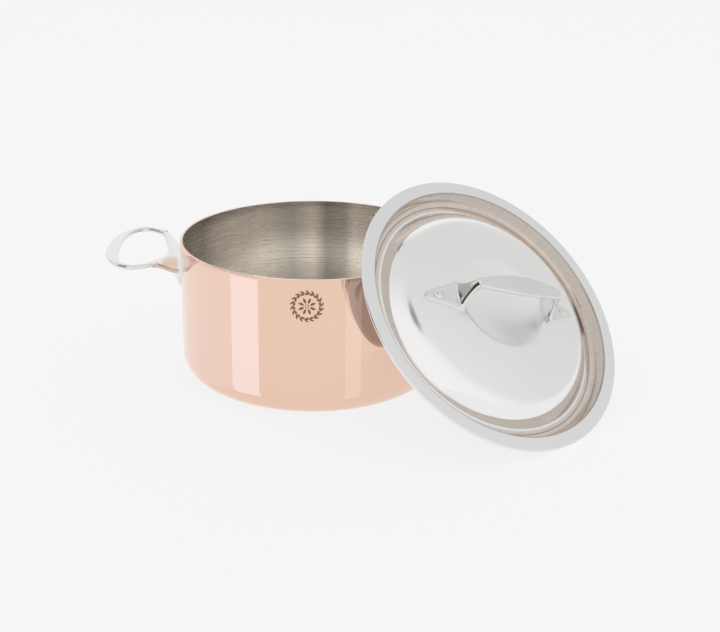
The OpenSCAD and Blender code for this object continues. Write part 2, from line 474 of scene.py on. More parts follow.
@dataclass(frozen=True)
class FloorFinish:
    """Pale studio floor that glows a little, so that shadows stay faint."""

    name: str = "studio_floor"
    glow: float = 0.835
    colour: float = 0.10

    def build(self) -> bpy.types.Material:
        """Makes the material."""
        sheet = Sheet(self.name)
        grain = sheet.noise(sheet.place(), 3.0, 2.0, 0.5)
        shade = self.colour + (grain - 0.5) * 0.004
        sheet.set(
            Base_Color=sheet.point(shade, shade, shade),
            Roughness=0.9,
            Emission_Color=(1.0, 1.0, 1.0, 1.0),
            Emission_Strength=self.glow,
        )
        sheet.shader.inputs["Specular IOR Level"].default_value = 0.0
        return sheet.material


# ---------------------------------------------------------------- modelling tools


class Bench:
    """The hand work: operators that start, shape and finish a mesh object."""

    @staticmethod
    def clear() -> None:
        """Leaves edit mode and deselects every object."""
        if bpy.context.mode != "OBJECT":
            bpy.ops.object.mode_set(mode="OBJECT")
        bpy.ops.object.select_all(action="DESELECT")

    @classmethod
    def pick(cls, *pieces: bpy.types.Object) -> None:
        """Selects pieces and makes the first one active."""
        cls.clear()
        for piece in pieces:
            piece.select_set(True)
        bpy.context.view_layer.objects.active = pieces[0]

    @classmethod
    def name(cls, piece: bpy.types.Object, name: str) -> bpy.types.Object:
        """Names an object and its mesh."""
        piece.name = name
        piece.data.name = name
        return piece

    @classmethod
    def settle(cls, piece: bpy.types.Object) -> None:
        """Applies an object's place, turn and scale to its mesh."""
        cls.pick(piece)
        bpy.ops.object.transform_apply(location=True, rotation=True, scale=True)

    @classmethod
    def join(cls, name: str, pieces: Sequence[bpy.types.Object]) -> bpy.types.Object:
        """Joins pieces into one object.

        Args:
            name: the result's name.
            pieces: the objects, all settled.

        Returns:
            The joined object.
        """
        cls.pick(*pieces)
        if len(pieces) > 1:
            bpy.ops.object.join()
        return cls.name(bpy.context.view_layer.objects.active, name)

    @classmethod
    def drop(cls, *pieces: bpy.types.Object) -> None:
        """Deletes helper objects."""
        for piece in pieces:
            mesh = piece.data
            bpy.data.objects.remove(piece)
            bpy.data.meshes.remove(mesh)

    @classmethod
    def modify(cls, piece: bpy.types.Object, kind: str, **settings: Any) -> None:
        """Adds a modifier and applies it.

        Args:
            piece: the object.
            kind: the modifier's type.
            settings: its attributes.
        """
        cls.pick(piece)
        modifier = piece.modifiers.new(kind.lower(), kind)
        for key, value in settings.items():
            setattr(modifier, key, value)
        bpy.ops.object.modifier_apply(modifier=modifier.name)

    @classmethod
    def cut(cls, piece: bpy.types.Object, tool: bpy.types.Object) -> None:
        """Cuts a piece with a tool object, which is then deleted."""
        cls.modify(piece, "BOOLEAN", object=tool, operation="DIFFERENCE", solver="EXACT")
        cls.drop(tool)

    @classmethod
    def smooth(cls, piece: bpy.types.Object, degrees: float = 35.0) -> None:
        """Smooth shading that keeps edges sharper than an angle."""
        cls.pick(piece)
        bpy.ops.object.shade_smooth_by_angle(angle=math.radians(degrees))

    @classmethod
    @contextmanager
    def editing(cls, piece: bpy.types.Object, everything: bool = True) -> Iterator[None]:
        """Edit mode on one piece, and object mode again afterwards.

        Args:
            piece: the object.
            everything: whether its whole mesh is selected first.

        Yields:
            Nothing; the block runs in edit mode.
        """
        cls.pick(piece)
        bpy.ops.object.mode_set(mode="EDIT")
        if everything:
            bpy.ops.mesh.select_all(action="SELECT")
        yield
        bpy.ops.object.mode_set(mode="OBJECT")

    @classmethod
    def recalculate(cls, piece: bpy.types.Object) -> None:
        """Merges doubles and turns every face outwards."""
        with cls.editing(piece):
            bpy.ops.mesh.remove_doubles(threshold=1e-6)
            bpy.ops.mesh.normals_make_consistent(inside=False)

    @classmethod
    def lathe(cls, name: str, section: Sequence[Point], steps: int) -> bpy.types.Object:
        """Spins an open section round the Z axis.

        Args:
            name: the piece's name.
            section: (radius, height) points in order; ends on the axis make poles.
            steps: parts of a full turn.

        Returns:
            The turned object.
        """
        cls.clear()
        bpy.ops.mesh.primitive_circle_add(vertices=len(section), radius=1.0, fill_type="NOTHING")
        piece = bpy.context.view_layer.objects.active
        for vertex, (radius, height) in zip(piece.data.vertices, section):
            vertex.co = (radius, 0.0, height)
        cls._open_ring(piece, len(section) - 1)
        with cls.editing(piece):
            bpy.ops.mesh.spin(steps=steps, angle=TURN, center=(0, 0, 0), axis=(0, 0, 1))
        cls.recalculate(piece)
        cls.smooth(piece)
        return cls.name(piece, name)

    @classmethod
    def _open_ring(cls, piece: bpy.types.Object, last: int) -> None:
        """Deletes the edge that joins a ring's last vertex to its first."""
        with cls.editing(piece, everything=False):
            bpy.ops.mesh.select_mode(type="EDGE")
        for vertex in piece.data.vertices:
            vertex.select = False
        for edge in piece.data.edges:
            edge.select = set(edge.vertices) == {0, last}
        with cls.editing(piece, everything=False):
            bpy.ops.mesh.delete(type="EDGE")
            bpy.ops.mesh.select_mode(type="VERT")

    @classmethod
    def loft(cls, name: str, rings: Sequence[Sequence[Vector]]) -> bpy.types.Object:
        """Bridges rings of the same number of points into a skin that is capped at both ends.

        Args:
            name: the piece's name.
            rings: each ring's points, in matching order.

        Returns:
            The lofted object.
        """
        count = len(rings[0])
        hoops = []
        for ring in rings:
            cls.clear()
            bpy.ops.mesh.primitive_circle_add(vertices=count, radius=1.0, fill_type="NOTHING")
            hoop = bpy.context.view_layer.objects.active
            for vertex, place in zip(hoop.data.vertices, ring):
                vertex.co = place
            hoops.append(hoop)
        piece = cls.join(name, hoops)
        starts = [index * count for index in range(len(rings))]
        for pair in zip(starts, starts[1:]):
            cls._fill(piece, pair, count, bpy.ops.mesh.bridge_edge_loops)
        for end in (starts[0], starts[-1]):
            cls._fill(piece, (end,), count, bpy.ops.mesh.edge_face_add)
        cls.recalculate(piece)
        return piece

    @classmethod
    def _choose(cls, piece: bpy.types.Object, starts: Iterable[int], count: int) -> None:
        """Selects the edges of the rings that begin at the given vertices."""
        cls.pick(piece)
        wanted = {start + i for start in starts for i in range(count)}
        for face in piece.data.polygons:
            face.select = False
        for vertex in piece.data.vertices:
            vertex.select = vertex.index in wanted
        groups = [range(start, start + count) for start in starts]
        for edge in piece.data.edges:
            a, b = edge.vertices
            edge.select = any(a in group and b in group for group in groups)

    @classmethod
    def _fill(cls, piece: bpy.types.Object, starts: Sequence[int], count: int,
              operator: Callable[[], Any]) -> None:
        """Fills between rings of a mesh, or across one ring.

        Args:
            piece: the mesh object.
            starts: each ring's first vertex.
            count: points in a ring.
            operator: what makes the faces from the chosen edges.
        """
        cls._choose(piece, starts, count)
        with cls.editing(piece, everything=False):
            bpy.ops.mesh.select_mode(type="EDGE")
            operator()
            bpy.ops.mesh.select_mode(type="VERT")

    @classmethod
    def cast(cls, piece: bpy.types.Object, voxel: float, rounds: int) -> None:
        """Fuses overlapping skins into one and softens its edges, as a casting is.

        Args:
            piece: the object, made of overlapping closed skins.
            voxel: grid of the fused skin.
            rounds: smoothing passes.
        """
        cls.modify(piece, "REMESH", mode="VOXEL", voxel_size=voxel, use_smooth_shade=True)
        cls.modify(piece, "SMOOTH", factor=0.5, iterations=rounds)


def arc(centre: Point, radius: float, start: float, end: float, steps: int) -> List[Point]:
    """Points of an arc.

    Args:
        centre: the arc's centre.
        radius: its radius.
        start: first angle in degrees.
        end: last angle in degrees.
        steps: number of parts.

    Returns:
        steps + 1 points.
    """
    angles = [math.radians(start + (end - start) * i / steps) for i in range(steps + 1)]
    return [(centre[0] + radius * math.cos(a), centre[1] + radius * math.sin(a)) for a in angles]


def subdivide(points: Sequence[Point], most: float) -> List[Point]:
    """Adds points along straight stretches that are longer than a limit."""
    result = [points[0]]
    for (x0, y0), (x1, y1) in zip(points, points[1:]):
        parts = max(1, math.ceil(math.hypot(x1 - x0, y1 - y0) / most))
        result += [(x0 + (x1 - x0) * i / parts, y0 + (y1 - y0) * i / parts) for i in range(1, parts + 1)]
    return result


def rounded(points: Sequence[Point], radii: Sequence[float], steps: int) -> List[Point]:
    """Rounds the corners of an open line.

    Args:
        points: the line's corners.
        radii: a fillet radius for each corner; the two ends are left as they are.
        steps: parts of each fillet.

    Returns:
        The line's points, with each corner turned into a smooth curve.
    """
    result = [points[0]]
    for before, corner, after, radius in zip(points, points[1:], points[2:], radii[1:]):
        if radius <= 0:
            result.append(corner)
            continue
        c = Vector(corner)
        back = Vector(before) - c
        on = Vector(after) - c
        half = back.angle(on) / 2
        cut = min(radius / math.tan(half), back.length * 0.49, on.length * 0.49)
        a = c + back.normalized() * cut
        b = c + on.normalized() * cut
        for i in range(steps + 1):
            t = i / steps
            spot = a * (1 - t) ** 2 + c * 2 * t * (1 - t) + b * t ** 2
            result.append((spot.x, spot.y))
    result.append(points[-1])
    return result


def smoothstep(t: float) -> float:
    """0 to 1 with level ends."""
    t = min(max(t, 0.0), 1.0)
    return t * t * (3 - 2 * t)


def along(table: Sequence[Tuple[float, ...]], t: float) -> Tuple[float, ...]:
    """Reads a table of (position, values...) at t with a smooth curve between its rows."""
    for row, after in zip(table, table[1:]):
        if t <= after[0]:
            s = smoothstep((t - row[0]) / (after[0] - row[0]))
            return tuple(a + (b - a) * s for a, b in zip(row[1:], after[1:]))
    return tuple(table[-1][1:])


def slab(middle: Vector, across: Vector, up: Vector, size: Point, square: Point,
         count: int = 24) -> List[Vector]:
    """A rounded slab section, as a ring of points.

    Args:
        middle: the section's middle.
        across: direction of its width.
        up: direction of its thickness.
        size: width and thickness.
        square: for each of the two, 1 for an ellipse and less for squarer corners.
        count: points of the ring.

    Returns:
        The ring.
    """
    ring = []
    for i in range(count):
        a = TURN * i / count
        c, s = math.cos(a), math.sin(a)
        y = math.copysign(abs(c) ** square[0], c) * size[0] / 2
        z = math.copysign(abs(s) ** square[1], s) * size[1] / 2
        ring.append(middle + across * y + up * z)
    return ring


def finish_piece(piece: bpy.types.Object, finish: Any, body: Body, *nodes: str) -> None:
    """Dresses a piece, rides it on its body and hides the CAD nodes that it stands for.

    Args:
        piece: the finished mesh.
        finish: the finish class whose build() makes the material.
        body: the body it moves with.
        nodes: the CAD nodes it stands for.
    """
    piece.data.materials.clear()
    piece.data.materials.append(finish_material(finish))
    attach(piece, body.value)
    if nodes:
        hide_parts(*nodes)
    LOG.info("%s: %d faces", piece.name, len(piece.data.polygons))


@lru_cache(maxsize=None)
def finish_material(finish: Any) -> bpy.types.Material:
    """The material of a finish, made once."""
    return finish.build()


# ---------------------------------------------------------------- the pan


@dataclass
class PanBody:
    """Copper shell and steel lining."""

    corner: float = 20 * MM
    copper: float = 1.8 * MM
    lining: float = 0.2 * MM
    rim_round: float = 0.35 * MM
    steps: int = 224
    radius: float = field(init=False)
    height: float = field(init=False)

    def __post_init__(self) -> None:
        """Takes the radius and the height from the frame."""
        low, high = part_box("copper_shell")
        self.radius = (high.x - low.x) / 2
        self.height = high.z

    @property
    def bore(self) -> float:
        """Inside radius of the lining."""
        return self.radius - self.copper - self.lining

    def _skin(self, inset: float) -> List[Point]:
        """One face of a layer, from the axis out and up to just below the rim."""
        centre = (self.radius - self.corner, self.corner)
        curve = arc(centre, self.corner - inset, -90, 0, 20)
        line = [(0.0, inset)] + curve + [(self.radius - inset, self.height - self.rim_round)]
        return subdivide(line, 9 * MM)

    def _layer(self, name: str, outer: float, inner: float) -> bpy.types.Object:
        """Turns one layer of the wall.

        Args:
            name: the piece's name.
            outer: depth of its outer face below the copper's outside.
            inner: depth of its inner face.

        Returns:
            The layer.
        """
        edge = min(self.rim_round, (inner - outer) * 0.45)
        top = self.height
        rim = arc((self.radius - outer - edge, top - edge), edge, 0, 90, 4)
        rim += arc((self.radius - inner + edge, top - edge), edge, 90, 180, 4)
        section = self._skin(outer)[:-1] + rim + self._skin(inner)[-2::-1]
        return Bench.lathe(name, section, self.steps)

    def build(self, copper: MetalFinish, lining: BoreFinish) -> None:
        """Makes both layers.

        Args:
            copper: the shell's finish.
            lining: the lining's finish.
        """
        shell = self._layer("copper_wall", 0.0, self.copper)
        finish_piece(shell, copper, Body.PAN, "copper_shell")
        skin = self._layer("steel_bore", self.copper, self.copper + self.lining)
        finish_piece(skin, lining, Body.PAN, "steel_lining")


@dataclass
class WallOrnament:
    """Etched wreath and flower on the front of the wall: a plain ornament without lettering."""

    pan: PanBody
    centre_height: float = 88.5 * MM
    sideways: float = -4.2 * MM
    wreath_radius: float = 10.2 * MM
    leaf_count: int = 18
    petal_count: int = 8
    lift: float = 0.02 * MM
    depth: float = 0.12 * MM

    def _flat(self, outline: Sequence[Point]) -> bpy.types.Object:
        """A filled flat shape in the XY plane."""
        Bench.clear()
        bpy.ops.mesh.primitive_circle_add(vertices=len(outline), radius=1.0, fill_type="NGON")
        shape = bpy.context.view_layer.objects.active
        for vertex, (x, y) in zip(shape.data.vertices, outline):
            vertex.co = (x, y, 0.0)
        return shape

    def _leaf(self, length: float, width: float, spot: Point, turn: float,
              lean: float = 0.0) -> bpy.types.Object:
        """A pointed leaf.

        Args:
            length: from stalk to point.
            width: at the widest.
            spot: the stalk's place.
            turn: direction of the leaf in radians.
            lean: sideways bend of the point.

        Returns:
            The leaf.
        """
        steps = 8
        shares = [i / steps for i in range(steps + 1)]
        side = [(length * t, width / 2 * math.sin(math.pi * t) ** 0.8) for t in shares]
        outline = side + [(x, -y) for x, y in side[-2:0:-1]]
        bent = [(x, y + lean * (x / length) ** 2) for x, y in outline]
        c, s = math.cos(turn), math.sin(turn)
        return self._flat([(spot[0] + x * c - y * s, spot[1] + x * s + y * c) for x, y in bent])

    def _ring(self, radius: float, width: float, steps: int = 56) -> bpy.types.Object:
        """A flat ring, made of a filled disc with its middle inset and deleted."""
        disc = self._flat(arc((0, 0), radius, 0, 360, steps)[:-1])
        with Bench.editing(disc):
            bpy.ops.mesh.inset(thickness=width)
            bpy.ops.mesh.delete(type="FACE")
        return disc

    def _shapes(self) -> List[bpy.types.Object]:
        """All flat shapes of the ornament about its own centre."""
        shapes = [self._ring(self.wreath_radius, 0.55 * MM), self._ring(1.5 * MM, 0.5 * MM)]
        for i in range(self.leaf_count):
            turn = TURN * i / self.leaf_count
            for hand, inset in ((1, 0.1 * MM), (-1, 0.35 * MM)):
                radius = self.wreath_radius - inset
                spot = (radius * math.cos(turn), radius * math.sin(turn))
                heading = turn + math.pi / 2 - 0.55 * hand
                shapes.append(self._leaf(3.5 * MM, 1.35 * MM, spot, heading, 0.3 * MM * hand))
        for i in range(self.petal_count):
            turn = TURN * (i + 0.5) / self.petal_count
            spot = (2.1 * MM * math.cos(turn), 2.1 * MM * math.sin(turn))
            shapes.append(self._leaf(4.6 * MM, 1.9 * MM, spot, turn))
        return shapes

    def build(self, finish: EtchedFinish) -> None:
        """Makes the ornament and wraps it onto the wall.

        Args:
            finish: the etched metal's finish.
        """
        mark = Bench.join("etched_wreath", self._shapes())
        Bench.modify(mark, "SUBSURF", subdivision_type="SIMPLE", levels=1, render_levels=1)
        with Bench.editing(mark):
            bpy.ops.mesh.extrude_region_move(TRANSFORM_OT_translate={"value": (0, 0, self.depth)})
        base = self.pan.radius - self.depth + self.lift
        for vertex in mark.data.vertices:
            x, y, z = vertex.co
            turn = (x + self.sideways) / self.pan.radius - math.pi / 2
            reach = base + z
            vertex.co = (reach * math.cos(turn), reach * math.sin(turn), self.centre_height + y)
        Bench.recalculate(mark)
        finish_piece(mark, finish, Body.PAN)


@dataclass
class SideHandle:
    """Cast loop with a triangular foot, modelled towards +X and turned into place."""

    side: str
    pan: PanBody
    turn: float
    voxel: float = 0.5 * MM
    smoothing: int = 8
    strap: float = 3.5 * MM
    strap_root: float = 4.7 * MM
    strap_wide: float = 10.4 * MM
    sweep_degrees: float = 112
    loop_top: float = field(init=False)
    reach: float = field(init=False)
    half: float = field(init=False)

    loop_mid: float = 31 * MM
    neck: float = 16 * MM
    foot_top: float = 91 * MM
    foot_tip: float = 66.8 * MM
    foot_half: float = 26 * MM

    def __post_init__(self) -> None:
        """Takes the loop's size from the frame."""
        low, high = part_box(f"{self.side}_side_handle")
        self.loop_top = high.z
        self.reach = max(abs(low.x), abs(high.x))
        self.half = (high.y - low.y) / 2 - 0.25 * MM

    def _strap_station(self, t: float) -> Tuple[Vector, Vector, float]:
        """The strap at a share t of the way round, from one arm's root to the other.

        Args:
            t: 0 at the front arm's root, 0.5 at the outer end, 1 at the back arm's root.

        Returns:
            Middle of the strap, its outward direction and its width.
        """
        middle = self.pan.radius + self.loop_mid
        outer = self.reach - middle
        sweep = math.radians(self.sweep_degrees * (2 * t - 1))
        end_share = max(math.cos(sweep), 0.0) ** 2
        width = self.strap_root + (self.strap_wide - self.strap_root) * end_share
        if abs(math.degrees(sweep)) <= 90:
            mid_out = outer - width / 2
            mid_half = self.half - width / 2
            place = Vector((middle + mid_out * math.cos(sweep), mid_half * math.sin(sweep), 0))
            normal = Vector((math.cos(sweep) / mid_out, math.sin(sweep) / mid_half, 0)).normalized()
        else:
            over = (abs(math.degrees(sweep)) - 90) / 28
            hand = math.copysign(1.0, sweep)
            width += 2.4 * MM * smoothstep(over)
            half = self.half - width / 2 - 13.5 * MM * over ** 1.5
            place = Vector((middle - 20.5 * MM * over, half * hand, 0))
            lean = 0.85 * over
            normal = Vector((-math.sin(lean), math.cos(lean) * hand, 0))
        droop = 1.0 * MM * end_share
        place.z = self.loop_top - self.strap / 2 - droop
        return place, normal, width

    def _loop(self) -> bpy.types.Object:
        """The strap, swept round the loop."""
        rings = []
        for i in range(65):
            place, normal, width = self._strap_station(i / 64)
            rings.append(slab(place, normal, Vector((0, 0, 1)), (width, self.strap), (0.62, 0.72), 20))
        return Bench.loft("loop", rings)

    def _foot_ring(self, share: float) -> List[Vector]:
        """A section of the foot, parallel to the wall.

        Args:
            share: 0 inside the wall and 1 where the foot has become the two arms.

        Returns:
            The ring's points, viewed from outside.
        """
        start = self.pan.radius - 5 * MM
        x = start + (self.neck + 7 * MM) * share
        wall_share = max(0.0, (x - self.pan.radius) / (self.neck + 2 * MM))
        half = self.foot_half + (self.half - 4.6 * MM - self.foot_half) * wall_share ** 0.85
        top = self.foot_top + (self.loop_top - self.foot_top) * smoothstep(wall_share ** 0.9)
        low = self.foot_tip + (self.loop_top - self.strap - self.foot_tip) * wall_share
        edge = self.strap * (0.75 + 0.25 * wall_share)
        flat = 10
        slope = 12
        ring = [Vector((x, -half + 2 * half * i / flat, top)) for i in range(flat + 1)]
        for hand in (1, -1):
            path = []
            for i in range(slope + 1):
                t = i / slope
                y = half * (1 - t)
                z = (top - edge) + (low - (top - edge)) * t
                scoop = 2.6 * MM * math.sin(math.pi * t) * (1 - wall_share)
                path.append(Vector((x, hand * max(y - scoop, 0.0), z + scoop * 0.4)))
            ring += path if hand > 0 else path[-2::-1]
        return ring

    def _foot(self) -> bpy.types.Object:
        """The foot, with the loop's opening cut through it."""
        foot = Bench.loft("foot", [self._foot_ring(i / 14) for i in range(15)])
        opening = []
        for i in range(25):
            place, normal, width = self._strap_station(i / 24)
            opening.append(place - normal * (width / 2 - 0.6 * MM))
        inner = self.pan.radius + 9.5 * MM
        for y in (17 * MM, 12 * MM, 6 * MM, 0.0, -6 * MM, -12 * MM, -17 * MM):
            bow = 1.4 * MM * (abs(y) / (17 * MM)) ** 2
            opening.append(Vector((inner + bow, y, 0)))
        low = [Vector((p.x, p.y, self.foot_tip - 12 * MM)) for p in opening]
        high = [Vector((p.x, p.y, self.loop_top + 12 * MM)) for p in opening]
        Bench.cut(foot, Bench.loft("opening", [low, high]))
        return foot

    def build(self, finish: MetalFinish) -> None:
        """Makes the casting and turns it into place.

        Args:
            finish: the cast steel's finish.
        """
        piece = Bench.join(f"{self.side}_loop_handle", [self._loop(), self._foot()])
        Bench.cast(piece, self.voxel, self.smoothing)
        Bench.clear()
        bpy.ops.mesh.primitive_cylinder_add(vertices=256, radius=self.pan.radius, depth=0.3)
        Bench.cut(piece, bpy.context.view_layer.objects.active)
        Bench.pick(piece)
        piece.rotation_euler = (0, 0, self.turn)
        Bench.settle(piece)
        Bench.smooth(piece, 40)
        finish_piece(piece, finish, Body.PAN, f"{self.side}_side_handle")


@dataclass
class Rivet:
    """A rivet with a low domed head, turned on the lathe and set in place."""

    name: str
    body: Body
    head: float
    rise: float
    shank: float
    length: float

    def build(self, place: Matrix, finish: MetalFinish, *nodes: str) -> None:
        """Makes the rivet.

        Args:
            place: matrix that puts the head's seat, facing +Z, where it belongs.
            finish: the rivet's finish.
            nodes: the CAD nodes it stands for.
        """
        sphere = (self.head ** 2 + self.rise ** 2) / (2 * self.rise)
        spread = math.degrees(math.asin(self.head / sphere)) * 0.93
        dome = arc((0.0, self.rise - sphere), sphere, 90, 90 - spread, 9)
        lip = [(self.head, 0.12 * self.rise), (self.head * 0.985, 0.0)]
        foot = [(self.shank, 0.0), (self.shank, -self.length), (0.0, -self.length)]
        piece = Bench.lathe(self.name, dome + lip + foot, 40)
        piece.matrix_world = place
        Bench.settle(piece)
        finish_piece(piece, finish, self.body, *nodes)


# ---------------------------------------------------------------- the lid


@dataclass
class LidFrame:
    """Place of the leaning lid, worked out from its CAD sheet and rivets."""

    matrix: Matrix = field(init=False)

    def __post_init__(self) -> None:
        """Finds the lid's axis, the flange's level and the handle's direction."""
        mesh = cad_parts["lid_cover"].data
        left = sum(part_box("lid_rivet_left"), Vector()) / 2
        right = sum(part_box("lid_rivet_right"), Vector()) / 2
        normal = self._normal(mesh)
        if normal.z < 0:
            normal = -normal
        along_x = right - left
        along_x = (along_x - normal * along_x.dot(normal)).normalized()
        along_y = normal.cross(along_x)
        middle = (left + right) / 2
        heights = [(v.co - middle).dot(normal) for v in mesh.vertices]
        reach = [((v.co - middle) - normal * h).length for v, h in zip(mesh.vertices, heights)]
        widest = max(reach)
        flange = max(h for h, r in zip(heights, reach) if r > widest - 0.35 * MM)
        turned = Matrix((along_x, along_y, normal)).transposed().to_4x4()
        self.matrix = Matrix.Translation(middle + normal * flange) @ turned

    @staticmethod
    def _normal(mesh: bpy.types.Mesh) -> Vector:
        """The axis of a round sheet: the direction in which its area spreads least."""
        middle = Vector()
        total = 0.0
        for face in mesh.polygons:
            middle += face.center * face.area
            total += face.area
        middle /= total
        spread = [[0.0] * 3 for _ in range(3)]
        for face in mesh.polygons:
            d = face.center - middle
            for i in range(3):
                for j in range(3):
                    spread[i][j] += d[i] * d[j] * face.area
        inverse = Matrix(spread).inverted()
        guess = Vector((0.3, -0.4, 0.8))
        for _ in range(60):
            guess = (inverse @ guess).normalized()
        return guess

    def turn(self) -> Point3:
        """Euler angles that bring object coordinates into the lid's frame."""
        return tuple(self.matrix.inverted().to_euler("XYZ"))

    def shift(self) -> Point3:
        """Move that goes with turn()."""
        return tuple(self.matrix.inverted().to_translation())

    def put(self, piece: bpy.types.Object) -> None:
        """Moves a piece from the lid's frame to its place."""
        piece.matrix_world = self.matrix
        Bench.settle(piece)


@dataclass
class LidCover:
    """Pressed sheet: finger dish, domed panel, groove, locating wall and flange."""

    place: LidFrame
    radius: float = 109.88 * MM
    sheet: float = 0.8 * MM
    seat: float = 98.6 * MM
    dish: float = 36.6 * MM
    dish_rim: float = 12.2 * MM
    dish_depth: float = 4.0 * MM
    dome: float = 262 * MM
    shoulder: float = 72 * MM
    panel: float = 88.3 * MM
    groove: float = 9.8 * MM
    edge: float = 1.6 * MM
    steps: int = 288

    def sphere(self, r: float) -> float:
        """Height of the sphere that the panel and the feet of the handle follow."""
        top = self.dish_rim - math.sqrt(self.dome ** 2 - self.dish ** 2)
        return top + math.sqrt(self.dome ** 2 - r * r)

    @property
    def bend(self) -> float:
        """How fast the shoulder falls away from the sphere."""
        drop = self.sphere(self.panel) + self.groove - 0.3 * MM
        return drop / (self.panel - self.shoulder) ** 2

    def height(self, r: float) -> float:
        """Height of the upper face at a distance from the axis, inside the groove."""
        if r < self.dish:
            share = r / self.dish
            return self.dish_rim - self.dish_depth * (1 - share ** 3) ** 1.15
        return self.sphere(r) - self.bend * max(0.0, r - self.shoulder) ** 2

    def _face(self, d: float) -> List[Point]:
        """The face that lies d below the upper one, from the axis outwards."""
        radii = [self.dish * (i / 16) for i in range(16)]
        radii += [self.dish + (self.panel - self.dish) * i / 34 for i in range(35)]
        upper = [(r, self.height(r)) for r in radii]
        inner = [upper[0]]
        for before, here, after in zip(upper, upper[1:], upper[2:]):
            across = Vector((after[0] - before[0], after[1] - before[1])).normalized()
            inner.append((here[0] + across.y * d, here[1] - across.x * d))
        inner[0] = (0.0, upper[0][1] - d)
        floor = -self.groove - d
        rim = [
            inner[-1], (self.panel + 0.6 * MM - 0.4 * d, floor), (self.seat - 5.4 * MM, floor),
            (self.seat - 2.2 * MM + 0.6 * d, floor + 0.5 * MM), (self.seat - 1.2 * MM + d, floor + 2.4 * MM),
            (self.seat + 0.6 * MM + d, 0.85 * MM - 0.9 * d), (self.radius - 1.2 * MM, 0.25 * MM - d),
        ]
        soft = [0, 0.9 * MM, 0.6 * MM, 1.0 * MM, 1.4 * MM, 1.5 * MM, 0]
        return inner[:-1] + rounded(rim, soft, 6)

    def _section(self) -> List[Point]:
        """The whole section: upper face, rolled edge, lower face."""
        upper = self._face(0.0)
        lower = self._face(self.sheet)[:-1]
        roll = [
            (self.radius - 0.5 * MM, 0.1 * MM), (self.radius - 0.12 * MM, -0.12 * MM),
            (self.radius, -0.5 * MM), (self.radius, -self.edge + 0.45 * MM),
            (self.radius - 0.15 * MM, -self.edge + 0.12 * MM), (self.radius - 0.5 * MM, -self.edge),
            (self.radius - 1.2 * MM, -self.edge + 0.05 * MM),
            (self.radius - 1.9 * MM, -self.edge + 0.45 * MM),
            (self.radius - 2.6 * MM, 0.32 * MM - self.sheet),
        ]
        return upper + roll + lower[::-1]

    def build(self, finish: LidFinish) -> None:
        """Makes the cover.

        Args:
            finish: the polished sheet's finish.
        """
        cover = Bench.lathe("polished_cover", self._section(), self.steps)
        Bench.smooth(cover, 50)
        self.place.put(cover)
        finish_piece(cover, finish, Body.LID, "lid_cover")


